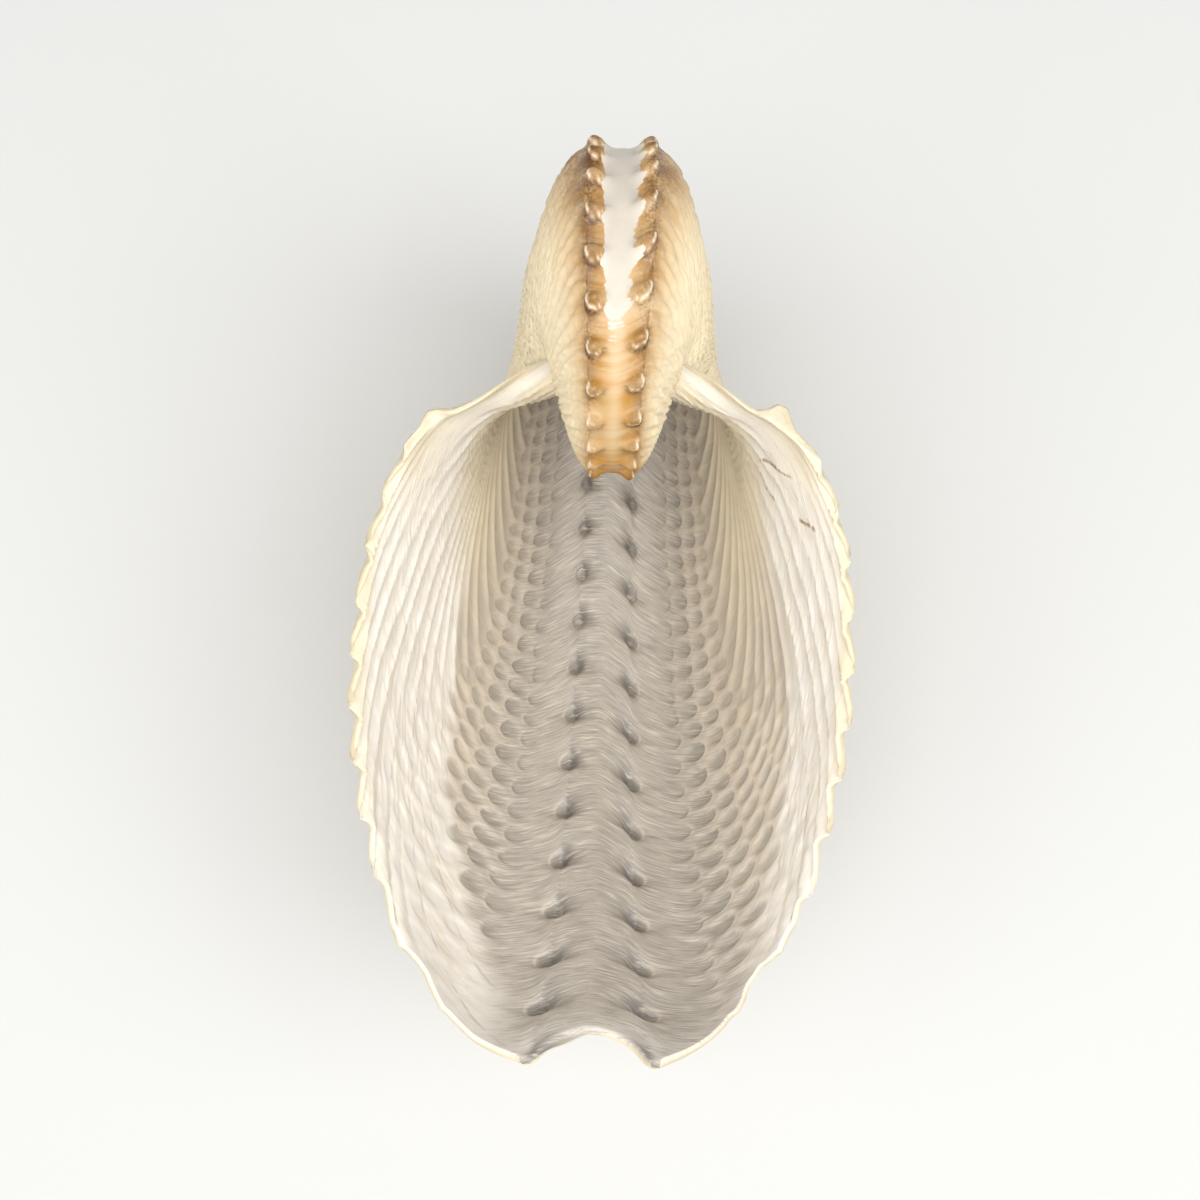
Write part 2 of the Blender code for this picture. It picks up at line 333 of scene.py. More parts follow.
def ornamentAt(angle, along):
    # lift along the wall's normal: keel knobs, flank knobs like scales, ribs 1 - ((1 - cos 2 pi f) / 2)^2.5 that
    # they run out into, the lip's cusps |sin pi f|, creases and folds; and the shares that the material colours,
    # with painted shade in the pits and grooves and painted highlights on the rims
    o = ornament
    reach = np.abs(along)
    old = ease(*o["oldFrom"], angle)
    young = 1.0 - old
    fromLip = behindLip(angle)
    pale = paleAt(angle, along)
    keel, keelPit, keelRim, keelShade = keelAt(angle, reach, old)

    ribPhase = courseAt(angle, reach) + o["drift"] * stray(angle, along, 1.0)
    column = (reach - o["firstColumn"]) / o["columnStep"] + 0.8 * o["drift"] * stray(angle, along, 2.0)
    knobs, rims = scales(angle, ribPhase, column)
    run = ease(*o["ribRun"], reach + o["armSooner"] * ease(20, 45, angle) * young)
    knobShare = ease(0.15, 0.33, reach) * (1.0 - run) * (1.0 - 0.7 * pale) * (1.0 - 0.65 * old)
    knobShare = knobShare * (0.45 + 0.55 * ease(2.0, 14.0, fromLip))
    knobShare = knobShare * (1.0 - 0.8 * ease(26, 46, angle) * young * ease(0.42, 0.54, reach))

    # ribs die out before the axis, later further back; they are strongest beside the coil and weakest where
    # they crowd below the arms
    joined = np.where(ribPhase < o["joinFrom"], ribPhase, 0.5 * (ribPhase + o["joinFrom"]))
    ribs = 1.0 - (0.5 - 0.5 * np.cos(2 * math.pi * joined)) ** 2.5
    nearLip = np.exp(-fromLip / o["marginTurn"])
    runOut = ease(0.86, 1.10, reach - 0.35 * ease(20, 50, angle))
    runOut = runOut * (1.0 - nearLip * (1.0 - ease(1.16, 1.24, reach)))
    stronger = np.maximum(0.7 * ease(0.85, 1.0, reach) * ease(35, 60, angle) * young,
                          0.8 * zone((60, 90), (150, 190), angle))
    crowded = zone((26, 46), (85, 115), angle) * zone((0.52, 0.68), (0.95, 1.08), reach)
    ribShare = run * (1.0 + stronger) * (1.0 - 0.35 * pale) * (1.0 - 0.45 * crowded) * (1.0 - runOut)

    cusp = 0.6 - np.abs(np.sin(math.pi * (ribPhase + 0.1 * stray(0.0 * along, along, 5.0))))
    cusp = cusp * nearLip * zone((0.30, 0.45), (1.12, 1.2), reach)
    crease = np.cos(2 * math.pi * (2.7 * joined + 0.9 * stray(3.0 * angle, 2.0 * along, 6.0)))
    crease = crease * pale * zone((0.35, 0.55), (1.05, 1.2), reach)
    fold = np.cos(2 * math.pi * (ribCount(angle - o["foldSweep"] * reach) + 0.25 * stray(angle, along, 3.0)))
    fold = fold * old * zone((0.13, 0.30), (0.95, 1.2), reach)
    flank = (o["flankKnob"] * (knobs - 0.35) * knobShare + o["rib"] * (ribs - 0.5) * ribShare
             + o["margin"] * cusp + o["wrinkle"] * crease + o["fold"] * fold)
    flank = flank * np.clip(radius(angle) / o["fullFlankRadius"], 0.0, 1.0) ** 0.65
    return {"lift": keel + flank, "keelPit": keelPit, "keelRim": keelRim, "keelShade": keelShade,
            "knobPit": knobs * knobShare, "knobRim": rims * knobShare, "ribTop": ribs * ribShare,
            "ribPhase": joined}


wallForm = {
    "flank": 0.0008,
    "keel": 0.0014,
    "keelReach": 0.06,
    "lip": 0.0003,             # extra at the lip
    "lipTurn": 3.0,
    "arm": 0.0036,             # extra in the rolled bars between the ears and the coil
    "armAt": 1.26,
    "armReach": 0.11,
    "armTurn": 8.0,
    "armDrop": 0.0016,         # the arms lie this much further out from the coiling axis
    "dropAt": 1.31,
    "dropReach": 0.10,
    "dropTurn": 14.0,
    "fullRadius": 0.045,
    "earAt": (1.205, 1.235),   # left and right
    "ear": (0.0030, 0.0062),
    "earReach": 0.020,
    "earTurn": 6.0,
    "restHeight": 0.0006,      # inner face over the flat spot that the shell rests on
}
lipForm = {
    # degrees by which parts of the lip stand out or back
    "scallop": 1.0,            # the ribs
    "tooth": 1.15,             # the keel's edges
    "toothAt": 0.004,          # past the crest
    "toothReach": 0.007,
    "leftSag": 0.9,            # the keel's left half
    "sagAt": -0.045,
    "sagReach": 0.035,
    "turn": 3.0,               # these die out over this many degrees
    "cutBack": (0.8, 2.2),     # the flank beside the keel, left and right
    "cutBackAt": 0.30,
    "cutBackReach": 0.13,
    "cutBackTurn": 12.0,
}


def wallThickness(angle, along):
    # flank + keel bell + lip and arm shares that die out back from the lip
    w = wallForm
    reach = np.abs(along)
    size = 0.3 + 0.7 * np.clip(radius(angle) / w["fullRadius"], 0.0, 1.0)
    keel = (w["keel"] - w["flank"]) * np.exp(-(np.clip(reach - crestAt, 0.0, None) / w["keelReach"]) ** 2)
    fromLip = behindLip(angle)
    lip = w["lip"] * np.exp(-(fromLip / w["lipTurn"]) ** 2)
    arm = w["arm"] * bell(reach, w["armAt"], w["armReach"]) * np.exp(-(fromLip / w["armTurn"]) ** 2)
    return (w["flank"] + keel) * size + lip + arm


def lipPlace(angle, along):
    # growth angle moved so that the lip gets its edge: cusps 1 - 2 |sin pi f|^0.9 on the ribs, which leave
    # hollow arcs between small points, teeth on the keel's edges and a notch between them
    f = lipForm
    fromLip = behindLip(angle)
    reach = np.abs(along)
    course = courseAt(np.full_like(along, shellForm["lipAngle"]), reach)
    wave = 1.0 - 2.0 * np.abs(np.sin(math.pi * (course + 0.12 * stray(0.0 * along, along, 5.0)))) ** 0.9
    share = zone((0.20, 0.32), (1.10, 1.20), reach) * (0.75 + 0.35 * stray(0.0 * along, 1.7 * along, 4.0))
    shift = -f["scallop"] * wave * share - f["tooth"] * bell(reach, crestAt + f["toothAt"], f["toothReach"])
    shift = shift - f["leftSag"] * bell(along, f["sagAt"], f["sagReach"])
    cutBack = np.where(along <= 0, *f["cutBack"]) * bell(reach, f["cutBackAt"], f["cutBackReach"])
    return angle + shift * np.exp(-fromLip / f["turn"]) + cutBack * np.exp(-fromLip / f["cutBackTurn"])


def earLift(angle, along):
    # a low pointed knob on each ear: bell over the growth line, dying out back from the lip
    w = wallForm
    place = np.where(along < 0, *w["earAt"])
    height = np.where(along < 0, *w["ear"])
    return height * bell(np.abs(along), place, w["earReach"]) * np.exp(-(behindLip(angle) / w["earTurn"]) ** 2)


def wallPoint(angle, along):
    # smooth wall plus the ornament's lift along its normal; gives points, normals and the ornament
    angleStep, alongStep = 0.15, 0.0015
    place = smoothWall(angle, along)
    byAngle = smoothWall(angle + angleStep, along) - smoothWall(angle - angleStep, along)
    outer = np.clip(along + alongStep, -edgeAt, edgeAt)
    inner = np.clip(along - alongStep, -edgeAt, edgeAt)
    normal = np.cross(byAngle, smoothWall(angle, outer) - smoothWall(angle, inner))
    normal /= np.maximum(np.linalg.norm(normal, axis=-1, keepdims=True), 1e-12)
    marks = ornamentAt(angle, along)
    lift = marks["lift"] + earLift(angle, along)
    w = wallForm
    drop = w["armDrop"] * bell(np.abs(along), w["dropAt"], w["dropReach"])
    drop = drop * np.exp(-(behindLip(angle) / w["dropTurn"]) ** 2)
    place = place - np.array([0.0, 1.0, 0.0]) * drop[..., None]
    return place + normal * lift[..., None], normal, marks


def wallSheets(angle, along):
    # outer and inner sheet, which close in to a round rim at the lip and at the two inner edges
    points, normal, marks = wallPoint(angle, along)
    half = 0.5 * wallThickness(angle, along)
    r = radius(angle)
    fromAxis = np.linalg.norm(smoothThrough(linePlaces, line, np.abs(along))[..., 1:], axis=-1)
    fromLip = np.radians(behindLip(angle)) * r * fromAxis
    fromEdge = (edgeAt - np.abs(along)) * r
    lipRound = np.sqrt(np.clip(1.0 - np.clip(1.0 - fromLip / half, 0.0, 1.0) ** 2, 0.01, 1.0))
    edgeRound = np.sqrt(np.clip(1.0 - np.clip(1.0 - fromEdge / half, 0.0, 1.0) ** 2, 0.01, 1.0))
    share = lipRound * edgeRound
    # both sheets meet half a wall under the outer face, and nothing goes below the floor
    out = points - normal * (half * (1.0 - share))[..., None]
    back = points - normal * (half * (1.0 + share))[..., None]
    out[..., 2] = np.maximum(out[..., 2], 0.0)
    back[..., 2] = np.maximum(back[..., 2], wallForm["restHeight"])
    return out, back, marks


rimSteps = {
    # close columns at the lip in degrees and close rows at the inner edges, which draw the rims round
    "lip": (0.0, 0.02, 0.07, 0.15, 0.28, 0.45, 0.68),
    "edge": (0.0, 0.0006, 0.0018, 0.0038, 0.0068, 0.012),
}


def columnSpread(first, last, count):
    # even steps after the lip's close ones
    if first > shellForm["lipAngle"]:
        return np.linspace(first, last, count)
    *close, rest = rimSteps["lip"]
    return np.concatenate([first + np.array(close), np.linspace(first + rest, last, count - len(close))])


def rowSpread(count):
    # rows crowd on the keel's edges and the knobbed flank: even steps of the density's running total
    *close, rest = rimSteps["edge"]
    close = np.array(close)
    fine = np.linspace(-edgeAt + rest, edgeAt - rest, 4001)
    reach = np.abs(fine)
    density = 0.75 + 3.0 * bell(reach, crestAt + 0.005, 0.05) + 0.9 * (1.0 - ease(0.75, 1.0, reach))
    total = np.concatenate([[0.0], np.cumsum(0.5 * (density[1:] + density[:-1]))])
    middle = np.interp(np.linspace(0.0, total[-1], count - 2 * len(close)), total, fine)
    return np.concatenate([-edgeAt + close, middle, (edgeAt - close)[::-1]])


def colour(hexValue):
    # sRGB hex to linear
    parts = [int(hexValue[i:i + 2], 16) / 255.0 for i in (0, 2, 4)]
    return tuple([p / 12.92 if p <= 0.04045 else ((p + 0.055) / 1.055) ** 2.4 for p in parts] + [1.0])


calcite = {
    # inside
    "insideFlank": "d0c4b2", "insideKeelAndShade": "bcb4a9", "insidePaleAndLit": "f2ede4", "insideUpper": "e8d9b8",
    "insideDeepShade": "b5a489", "pitShade": "6d6a66", "rimHighlight": "e6ddcf", "striaLight": "e2d9ca",
    "striaDark": "918c85",
    # outside
    "cream": "d9caa8", "armCream": "e2d5b8", "coilCream": "e8d7b4", "coilTan": "b58232", "coilBrownAndShadow": "4a2b1a",
    "coilWhite": "d1c8ba", "knobHighlight": "f6ead2", "rust": "8f6a2c",
    # sizes in metres
    "striaWidth": 0.00029,     # real ones are 0.1 to 0.3 mm apart, drawn at the coarse end
    "striaLength": 0.0058,
    "streak": (0.0013, 0.014),  # growth streaks, across and along
    "grain": 0.0005,           # real layers' grain is finer, drawn as coarse as it shows
    "mottle": 0.0060,
    # reach, first and last angle
    "cracks": ((1.01, 10.0, 22.0), (1.005, 36.0, 46.0), (1.10, 18.0, 44.0)),
}
stain = {
    # the old turns outside: growth angles against sizes along the growth line
    "from": (100, 195),
    "tanEnd": ((190, 240, 290, 345), (0.68, 0.52, 0.36, 0.56)),
    "brown": ((190, 225, 260, 320, 345), (1.0, 0.85, 0.65, 0.55, 0.85)),
    "brownIn": 0.045,
    "brownOut": (0.210, 0.075),     # before brownTurn and after it
    "brownTurn": (195, 235),
    "whiteHalf": ((150, 190, 235, 262), (0.062, 0.057, 0.047, 0.034)),
    "whiteFinger": (0.012, 0.034),  # left and right
    "whiteRagged": (0.012, 0.034),
    "whiteFrom": (100, 140),
    "whiteTo": (247, 268),
}


# what each vertex carries for the material, besides its zone's colour with the painted shade and highlights in it
markNames = ("inside", "growth", "reach", "pale", "hairy", "brown", "stripe", "tan", "smooth", "ribPhase")


def blend(share, a, b):
    # a (1 - share) + b share, colours as hex or arrays
    a, b = (np.array(colour(x)) if isinstance(x, str) else x for x in (a, b))
    return a * (1.0 - share[..., None]) + b * share[..., None]


def insideMarks(angle, along, marks):
    # pale towards the lip, partly painted light; striated grey on the keel floor, partly painted shade; painted
    # shade in the pits, in the grooves behind the ribs and deep in the coil, and painted highlights on the pits'
    # rims
    c = calcite
    reach = np.abs(along)
    pale = paleAt(angle, along)
    pits = np.maximum(0.92 * marks["keelPit"], 0.55 * marks["knobPit"] * (1.0 - 0.75 * pale))
    rims = np.maximum(marks["keelRim"], marks["knobRim"])
    upper = 0.75 * ease(0.45, 0.70, reach) * zone((34, 58), (90, 130), angle)
    # greyer towards the keel floor: partly the wall's own tone and partly painted shade of the deep floor
    tone = blend(1.0 - ease(0.20, 0.45, reach), c["insideFlank"], c["insideKeelAndShade"])
    # pale towards the lip and in the pale zone: partly the wall's own white and partly painted light where the
    # flank faces the light
    tone = blend(np.maximum(0.92 * pale, 0.55 * bell(behindLip(angle), 0.0, 2.4)), tone, c["insidePaleAndLit"])
    tone = blend(upper, tone, c["insideUpper"])
    # painted shade: darker deep inside the coil
    tone = blend(0.7 * ease(95, 160, angle), tone, c["insideDeepShade"])
    # painted shade in the broad grooves that the ribs leave inside
    tone = blend(0.35 * marks["ribTop"] * (1.0 - 0.6 * pale), tone, c["pitShade"])
    # painted shade in the pits
    tone = blend(pits, tone, c["pitShade"])
    # painted highlight on the pits' rims, away from the pits themselves
    tone = blend(0.7 * rims * (1.0 - pits), tone, c["rimHighlight"])
    hairy = (1.0 - ease(0.22, 0.60, reach)) * (1.0 - 0.8 * pale)
    return {"pale": pale, "hairy": hairy}, tone


def outsideMarks(angle, along, marks):
    # cream, the older turns' keel stained tan to brown, with painted shadow round the knobs and painted highlights
    # on their rims, and a bare white band down its middle
    c, z = calcite, stain
    reach = np.abs(along)
    old = ease(*z["from"], angle)
    tan = old * (1.0 - ease(0.10, 1.0, reach / np.interp(angle, *z["tanEnd"])))
    tan = tan * (1.0 - 0.35 * bell(reach, 0.0, 0.03) * (1.0 - ease(300, 330, angle)))
    # the tan gives way to the painted highlight on the knobs' hooked rims
    tan = tan * (1.0 - 0.8 * marks["keelRim"]) * (1.0 + 0.35 * ease(320, 345, angle))
    tone = np.broadcast_to(np.array(colour(c["coilCream"])), reach.shape + (4,))
    # painted highlights on the keel knobs' hooked rims and, fainter, on the flank knobs' rims
    tone = blend(marks["keelRim"], tone, c["knobHighlight"])
    tone = blend(0.35 * marks["knobRim"], tone, c["knobHighlight"])
    brownOut = z["brownOut"][0] + (z["brownOut"][1] - z["brownOut"][0]) * ease(*z["brownTurn"], angle)
    brown = bell(reach, crestAt, np.where(reach < crestAt, z["brownIn"], brownOut)) * np.interp(angle, *z["brown"])
    # brown is the keel's stain plus painted shadow round each knob's boss, and gives way to the painted highlight
    # on the rim
    brown = np.clip(0.90 * brown + 0.60 * marks["keelShade"], 0.0, 1.0)
    brown = old * brown * (1.0 - 0.9 * marks["keelRim"])
    # fingers of the white band reach out to the knobs
    knobPhase = 0.5 * ribCount(angle)
    finger = np.where(along < 0, *z["whiteFinger"]) * ease(170, 195, angle)
    finger = finger * bell(knobPhase - np.round(knobPhase), 0.16, 0.10)
    toEdge = (reach - np.interp(angle, *z["whiteHalf"]) - finger) / np.where(along < 0, *z["whiteRagged"])
    stripe = ease(1.0, -1.0, toEdge) * zone(z["whiteFrom"], z["whiteTo"], angle)
    return {"tan": tan, "brown": brown, "stripe": stripe}, tone


def wallMarks(angle, along, marks, inside):
    # shares from 0 to 1 that the material turns into colour, and the zones' colours with painted shade and
    # highlights in them; margin and arms are cream on both faces
    reach = np.abs(along)
    fromLip = behindLip(angle)
    rim = 0.60 * np.exp(-(fromLip / 0.9) ** 2) * (0.1 + 0.9 * ease(0.35, 0.7, reach))
    band = 0.80 * np.exp(-(fromLip / np.where(along < 0, 3.5, 3.0)) ** 2) * ease(0.45, 0.85, reach)
    arm = ease(0.98, 1.16, reach) * np.exp(-(fromLip / 26.0) ** 2)
    own, tone = (insideMarks if inside else outsideMarks)(angle, along, marks)
    tone = blend(np.maximum(rim, band), tone, calcite["cream"])
    tone = blend(0.85 * arm, tone, calcite["armCream"])
    shares = dict.fromkeys(markNames, np.zeros_like(reach))
    shares.update(own, inside=np.full_like(reach, float(inside)), growth=angle, reach=along, smooth=arm,
                  ribPhase=marks["ribPhase"])
    shares["hairy"] = shares["hairy"] * (1.0 - arm)
    return shares, tone


def addMark(mesh, name, kind, outer, inner):
    # one value to a vertex, first the outer sheet's
    field = {"FLOAT": "value", "FLOAT_COLOR": "color", "FLOAT_VECTOR": "vector"}[kind]
    values = np.concatenate([outer.ravel(), inner.ravel()]).astype(np.float32)
    mesh.attributes.new(name, kind, "POINT").data.foreach_set(field, values)


def buildPiece(name, first, last, columns, rows):
    # both sheets of the wall and the strips that close their rims
    angles = columnSpread(first, last, columns)
    alongs = rowSpread(rows)
    angle, along = np.meshgrid(angles, alongs, indexing="ij")
    placed = lipPlace(angle, along)
    out, back, marks = wallSheets(placed, along)
    count = columns * rows
    index = np.arange(count).reshape(columns, rows)
    a, b = index[:-1, :-1].ravel(), index[1:, :-1].ravel()
    c, d = index[1:, 1:].ravel(), index[:-1, 1:].ravel()
    outer = np.stack([a, b, c, d], axis=-1)
    inner = np.stack([a, d, c, b], axis=-1) + count
    rims = []
    for row in (index[0, :], index[-1, ::-1], index[::-1, 0], index[:, -1]):
        rims.append(np.stack([row[:-1], row[1:], row[1:] + count, row[:-1] + count], axis=-1))
    faces = np.concatenate([outer, inner] + rims)
    mesh = bpy.data.meshes.new(name)
    mesh.from_pydata(np.concatenate([out.reshape(-1, 3), back.reshape(-1, 3)]).tolist(), [], faces.tolist())
    mesh.shade_smooth()

    outMarks, outTone = wallMarks(placed, along, marks, False)
    backMarks, backTone = wallMarks(placed, along, marks, True)
    for key in markNames:
        addMark(mesh, key, "FLOAT", outMarks[key], backMarks[key])
    # tone: each zone's colour with the painted shade and highlights
    addMark(mesh, "tone", "FLOAT_COLOR", outTone, backTone)
    # places on the wall in metres, along the coil (2 pi r / ln expansion) and across from the keel; the second
    # follows the striae, which arch over the keel floor and slant back down the flank
    toLength = 2.0 * math.pi / math.log(shellForm["expansion"])
    bend, gentler, lastRun = ornament["striaBend"]
    past = np.clip(np.abs(along) - crestAt, 0.0, None)
    slant = (ornament["keelSweep"] * np.clip(np.abs(along) / crestAt, 0.0, 1.0) ** 2
             - ornament["flankSweep"] * (np.minimum(past, bend) + gentler * np.clip(past - bend, 0.0, lastRun)))
    for key, turned in (("wallPlace", placed), ("striaPlace", placed - slant)):
        onWall = np.stack([radius(turned) * toLength, along * radius(placed), np.zeros_like(along)], axis=-1)
        addMark(mesh, key, "FLOAT_VECTOR", onWall, onWall)

    # where two pieces meet, both take the normals of the whole wall
    normals = np.zeros((2 * count, 3))
    meets = ((0, first > shellForm["lipAngle"]), (columns - 1, last < shellForm["startAngle"]))
    angleStep, alongStep = 0.2, 0.004
    for column in (column for column, isMet in meets if isMet):
        g, t = placed[column], along[column]
        behind, front = wallSheets(g + angleStep, t), wallSheets(g - angleStep, t)
        further = wallSheets(g, np.clip(t + alongStep, -edgeAt, edgeAt))
        nearer = wallSheets(g, np.clip(t - alongStep, -edgeAt, edgeAt))
        for sheet, sign in ((0, 1.0), (1, -1.0)):
            n = np.cross(behind[sheet] - front[sheet], further[sheet] - nearer[sheet])
            n /= np.maximum(np.linalg.norm(n, axis=-1, keepdims=True), 1e-12)
            normals[index[column] + sheet * count] = sign * n
    mesh.normals_split_custom_set_from_vertices(normals.tolist())
    piece = bpy.data.objects.new(name, mesh)
    bpy.context.scene.collection.objects.link(piece)
    return piece


def node(tree, kind, settings=None, out=0, **inputs):
    # adds a node and returns one of its outputs; settings are its properties, inputs its sockets by name or
    # number, each a value or another node's output
    made = tree.nodes.new(kind)
    for key, value in (settings or {}).items():
        setattr(made, key, value)
    for key, value in inputs.items():
        socket = made.inputs[int(key[1:]) if key[0] == "i" and key[1:].isdigit() else key.replace("_", " ")]
        if isinstance(value, bpy.types.NodeSocket):
            tree.links.new(value, socket)
        else:
            socket.default_value = value
    return made.outputs[out]


def makeCalcite():
    # biogenic calcite laid down in thin layers: satin, a little translucent, striated inside like combed hair, with
    # brown stain left in the older turns' keel and painted shadow round its knobs
    c = calcite
    made = bpy.data.materials.new("argonautCalcite")
    made.use_nodes = True
    tree = made.node_tree
    tree.nodes.clear()
    maths, mapping, noise = "ShaderNodeMath", "ShaderNodeMapping", "ShaderNodeTexNoise"
    eased, mixer, mark = "ShaderNodeMapRange", "ShaderNodeMix", "ShaderNodeAttribute"
    times, plus, minus = {"operation": "MULTIPLY"}, {"operation": "MULTIPLY_ADD"}, {"operation": "SUBTRACT"}
    unsigned, smooth, rgba = {"operation": "ABSOLUTE"}, {"interpolation_type": "SMOOTHSTEP"}, {"data_type": "RGBA"}
    at = {}
    for key in markNames:
        at[key] = node(tree, mark, {"attribute_name": key}, 2)
    tone = node(tree, mark, {"attribute_name": "tone"}, 0)
    wall = node(tree, mark, {"attribute_name": "wallPlace"}, 1)
    stria = node(tree, mark, {"attribute_name": "striaPlace"}, 1)
    spot = node(tree, "ShaderNodeTexCoord", None, 3)

    # patterns: fine striae, tufts of them, long growth streaks, grain, mottle
    width, length = c["striaWidth"], c["striaLength"]
    fine = node(tree, mapping, None, Vector=stria, Scale=(1.0 / width, 1.0 / length, 0.0))
    hairs = node(tree, noise, None, Vector=fine, Scale=1.0, Detail=2.0, Roughness=0.6, Distortion=0.5)
    wide = node(tree, mapping, None, Vector=stria, Scale=(0.25 / width, 0.6 / length, 0.0))
    tufts = node(tree, noise, None, Vector=wide, Scale=1.0, Detail=2.0, Roughness=0.5, Distortion=0.8)
    across, lengthwise = c["streak"]
    long = node(tree, mapping, None, Vector=wall, Scale=(1.0 / across, 1.0 / lengthwise, 0.0))
    streaks = node(tree, noise, None, Vector=long, Scale=1.0, Detail=3.0, Roughness=0.6, Distortion=0.6)
    grain = node(tree, noise, None, Vector=spot, Scale=1.0 / c["grain"], Detail=2.0, Roughness=0.6)
    mottle = node(tree, noise, None, Vector=spot, Scale=1.0 / c["mottle"], Detail=4.0, Roughness=0.6)

    # striae: light hairs and dark gaps where the inside is bare
    lightHair = node(tree, eased, smooth, i0=hairs, i1=0.50, i2=0.66)
    inTufts = node(tree, eased, smooth, i0=tufts, i1=0.35, i2=0.65, i3=0.35, i4=0.95)
    lightHair = node(tree, maths, times, i0=lightHair, i1=inTufts)
    lightHair = node(tree, maths, times, i0=lightHair, i1=at["hairy"])
    darkHair = node(tree, eased, smooth, i0=hairs, i1=0.50, i2=0.34)
    darkHair = node(tree, maths, times, i0=darkHair, i1=node(tree, maths, times, i0=at["hairy"], i1=0.55))
    base = node(tree, mixer, rgba, 2, i0=darkHair, i6=tone, i7=colour(c["striaDark"]))
    lightHair = node(tree, maths, times, i0=lightHair, i1=0.8)
    base = node(tree, mixer, rgba, 2, i0=lightHair, i6=base, i7=colour(c["striaLight"]))

    # cream streaks along the growth lines where there are no striae, faint on the keel
    streakShare = node(tree, eased, smooth, i0=streaks, i1=0.48, i2=0.72, i3=0.0, i4=0.55)
    streakShare = node(tree, maths, times, i0=streakShare, i1=node(tree, maths, minus, i0=1.0, i1=at["hairy"]))
    fromMiddle = node(tree, maths, unsigned, i0=at["reach"])
    offKeel = node(tree, eased, smooth, i0=fromMiddle, i1=0.08, i2=0.22, i3=0.3)
    streakShare = node(tree, maths, times, i0=streakShare, i1=offKeel)
    base = node(tree, mixer, rgba, 2, i0=streakShare, i6=base, i7=colour(c["cream"]))

    # tan on the old keel runs out along the growth lines
    tanShare = node(tree, maths, plus, i0=streaks, i1=0.7, i2=node(tree, maths, plus, i0=mottle, i1=0.6, i2=0.0))
    tanShare = node(tree, eased, smooth, i0=tanShare, i1=0.45, i2=0.85, i3=0.60, i4=1.0)
    tanShare = node(tree, maths, times, i0=tanShare, i1=at["tan"])
    base = node(tree, mixer, rgba, 2, i0=tanShare, i6=base, i7=colour(c["coilTan"]))

    # the old keel: brown in grains and blotches by the knobs, partly stain and partly painted shadow round each
    # knob, bare white down the middle with a ragged edge
    speckle = node(tree, maths, plus, i0=grain, i1=0.7, i2=mottle)
    speckle = node(tree, eased, smooth, i0=speckle, i1=0.62, i2=1.00)
    speckle = node(tree, maths, plus, i0=speckle, i1=0.80, i2=0.15)
    brownShare = node(tree, maths, times, i0=at["brown"], i1=speckle)
    base = node(tree, mixer, rgba, 2, i0=brownShare, i6=base, i7=colour(c["coilBrownAndShadow"]))
    ragged = node(tree, maths, plus, i0=streaks, i1=0.9, i2=node(tree, maths, plus, i0=mottle, i1=0.9, i2=-0.9))
    stripeShare = node(tree, maths, plus, i0=ragged, i1=1.6, i2=at["stripe"])
    stripeShare = node(tree, eased, smooth, i0=stripeShare, i1=0.42, i2=0.58)
    inBand = node(tree, eased, smooth, i0=at["stripe"], i1=0.02, i2=0.25)
    stripeShare = node(tree, maths, times, i0=stripeShare, i1=inBand)
    base = node(tree, mixer, rgba, 2, i0=stripeShare, i6=base, i7=colour(c["coilWhite"]))

    # thin lines of painted shade between the ribs of the pale zone, and a few cracks stained brown
    ribLine = node(tree, maths, plus, i0=mottle, i1=0.12, i2=at["ribPhase"])
    ribLine = node(tree, maths, {"operation": "FRACT"}, i0=ribLine)
    ribLine = node(tree, maths, minus, i0=ribLine, i1=0.56)
    ribLine = node(tree, maths, unsigned, i0=ribLine)
    ribLine = node(tree, eased, smooth, i0=ribLine, i1=0.045, i2=0.015, i3=0.0, i4=0.30)
    ribLine = node(tree, maths, times, i0=ribLine, i1=at["pale"])
    ribLine = node(tree, maths, times, i0=ribLine, i1=node(tree, eased, smooth, i0=streaks, i1=0.40, i2=0.60))
    base = node(tree, mixer, rgba, 2, i0=ribLine, i6=base, i7=colour(c["pitShade"]))
    wander = node(tree, maths, plus, i0=mottle, i1=0.030, i2=at["reach"])
    for place, low, high in c["cracks"]:
        crack = node(tree, maths, minus, i0=wander, i1=place + 0.015)
        crack = node(tree, maths, unsigned, i0=crack)
        crack = node(tree, eased, smooth, i0=crack, i1=0.0060, i2=0.0020)
        span = node(tree, maths, minus, i0=at["growth"], i1=0.5 * (low + high))
        span = node(tree, maths, unsigned, i0=span)
        span = node(tree, eased, smooth, i0=span, i1=0.5 * (high - low), i2=0.3 * (high - low))
        crack = node(tree, maths, times, i0=crack, i1=span)
        broken = node(tree, eased, smooth, i0=streaks, i1=0.38, i2=0.52, i3=0.0, i4=0.8)
        crack = node(tree, maths, times, i0=crack, i1=broken)
        crack = node(tree, maths, times, i0=crack, i1=at["inside"])
        base = node(tree, mixer, rgba, 2, i0=crack, i6=base, i7=colour(c["rust"]))

    # the mottle darkens and lightens everything a little, and roughens it unevenly; the arms are smoothest
    value = node(tree, eased, None, i0=mottle, i1=0.3, i2=0.7, i3=0.94, i4=1.05)
    base = node(tree, "ShaderNodeHueSaturation", None, Value=value, Color=base)

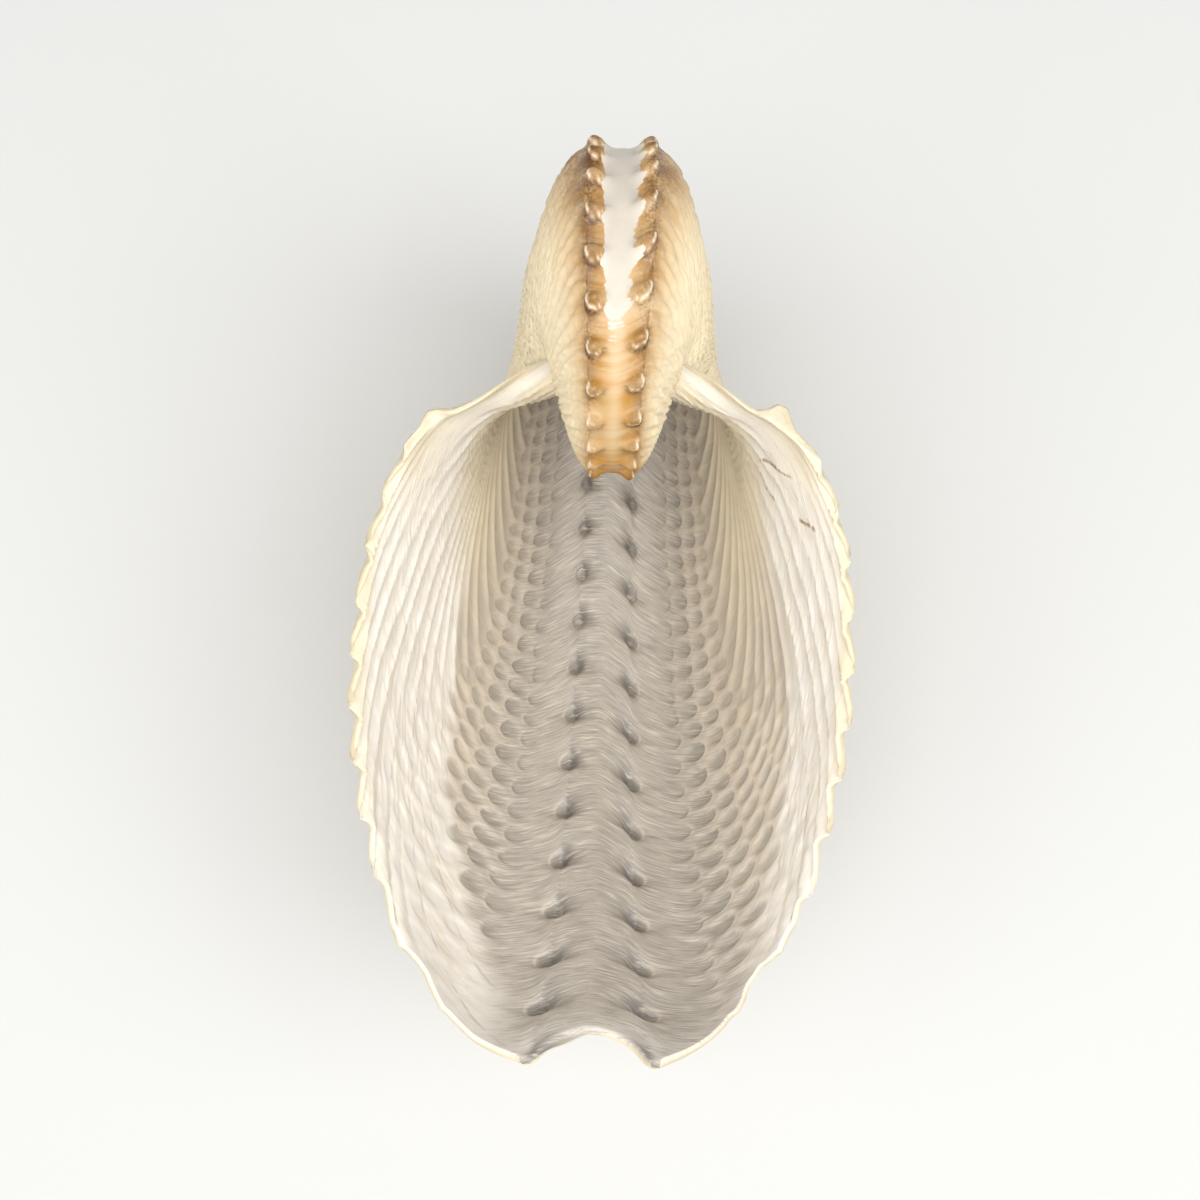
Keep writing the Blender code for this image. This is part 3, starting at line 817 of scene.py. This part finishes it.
    relief = node(tree, maths, times, i0=hairs, i1=at["hairy"])
    relief = node(tree, maths, plus, i0=grain, i1=0.25, i2=relief)
    bump = node(tree, "ShaderNodeBump", None, Strength=0.35, Distance=0.00025, Height=relief)
    rough = node(tree, eased, None, i0=mottle, i1=0.3, i2=0.7, i3=0.38, i4=0.54)
    rough = node(tree, maths, plus, i0=at["smooth"], i1=-0.16, i2=rough)
    shader = node(tree, "ShaderNodeBsdfPrincipled", None, Base_Color=base, Roughness=rough, Normal=bump, IOR=1.5,
                  Subsurface_Weight=0.2, Subsurface_Radius=(1.0, 0.75, 0.5), Subsurface_Scale=0.001)
    tree.links.new(shader, tree.nodes.new("ShaderNodeOutputMaterial").inputs["Surface"])
    return made


shellPieces = {
    # first and last growth angle, columns, rows
    "lipWhorl": (shellForm["lipAngle"], 16.0, 100, 460),
    "throatWhorl": (16.0, 46.0, 110, 440),
    "bodyWhorl": (46.0, 125.0, 160, 300),
    "coilWhorl": (125.0, 300.0, 160, 300),
    "innerTurns": (300.0, shellForm["startAngle"], 170, 160),
}
argonautCalcite = makeCalcite()
for name, (first, last, columns, rows) in shellPieces.items():
    piece = buildPiece(name, first, last, columns, rows)
    piece.data.materials.append(argonautCalcite)
    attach(piece, "root")
    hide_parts("shell")
    print("built", name, len(piece.data.polygons) * 2, "triangles")

studio = {
    "floorSize": 30.0,
    "floorColour": "cdcdcb",
    "floorRoughness": 0.8,
    # place, power and size of the lamps, which face the middle of the shell
    "key": ((0.45, -0.10, 0.60), 2.6, 0.45),
    "fill": ((-0.50, -0.20, 0.55), 2.2, 0.6),
    "top": ((0.0, -0.25, 1.10), 8.0, 0.9),
    "aim": (0.0, 0.0, 0.05),
    "world": 0.46,
}
floorMesh = bpy.data.meshes.new("floor")
half = studio["floorSize"] / 2
floorMesh.from_pydata([(-half, -half, 0), (half, -half, 0), (half, half, 0), (-half, half, 0)], [], [(0, 1, 2, 3)])
floor = bpy.data.objects.new("floor", floorMesh)
bpy.context.scene.collection.objects.link(floor)
floorLook = bpy.data.materials.new("floorPaint")
floorLook.use_nodes = True
floorShader = floorLook.node_tree.nodes["Principled BSDF"]
floorShader.inputs["Base Color"].default_value = colour(studio["floorColour"])
floorShader.inputs["Roughness"].default_value = studio["floorRoughness"]
floorMesh.materials.append(floorLook)
for key in ("key", "fill", "top"):
    place, power, size = studio[key]
    lamp = bpy.data.lights.new(key + "Light", "AREA")
    lamp.energy = power
    lamp.size = size
    lampObject = bpy.data.objects.new(key + "Light", lamp)
    lampObject.location = place
    lampObject.rotation_euler = (Vector(studio["aim"]) - Vector(place)).to_track_quat("-Z", "Y").to_euler()
    bpy.context.scene.collection.objects.link(lampObject)
world = bpy.data.worlds.new("studio")
world.use_nodes = True
world.node_tree.nodes["Background"].inputs["Color"].default_value = (1, 1, 1, 1)
world.node_tree.nodes["Background"].inputs["Strength"].default_value = studio["world"]
bpy.context.scene.world = world
bpy.context.scene.view_settings.view_transform = "Standard"

# camera: above the aperture, rolled 2 degrees against the keel and leaning with the shell
view = {
    "pixel": 0.00017,          # metres of the picture's pixel at the coiling axis
    "place": (-7.0, 215.4, -1500.0),    # across, down and away from that axis, in such pixels
    "roll": math.radians(2.0),
    "lens": 45.0,
    "sensor": 36.0,
    "nearest": 0.01,
}
lean = shellForm["lean"]


def toWorld(across, down, back):
    # the picture's directions to the world's, leaning about X
    y, z = -down, -back
    return Vector((across, y * math.cos(lean) - z * math.sin(lean), y * math.sin(lean) + z * math.cos(lean)))


right = toWorld(math.cos(view["roll"]), -math.sin(view["roll"]), 0.0)
up = toWorld(-math.sin(view["roll"]), -math.cos(view["roll"]), 0.0)
toward = right.cross(up)
camera = bpy.data.objects.new("camera", bpy.data.cameras.new("camera"))
camera.data.lens = view["lens"]
camera.data.sensor_width = view["sensor"]
camera.data.clip_start = view["nearest"]
turnMatrix = Matrix((right, up, toward)).transposed().to_4x4()
fromAxis = toWorld(*[view["pixel"] * pixels for pixels in view["place"]])
camera.matrix_world = Matrix.Translation(fromAxis + Vector(shellForm["axis"])) @ turnMatrix
bpy.context.scene.collection.objects.link(camera)
bpy.context.scene.camera = camera
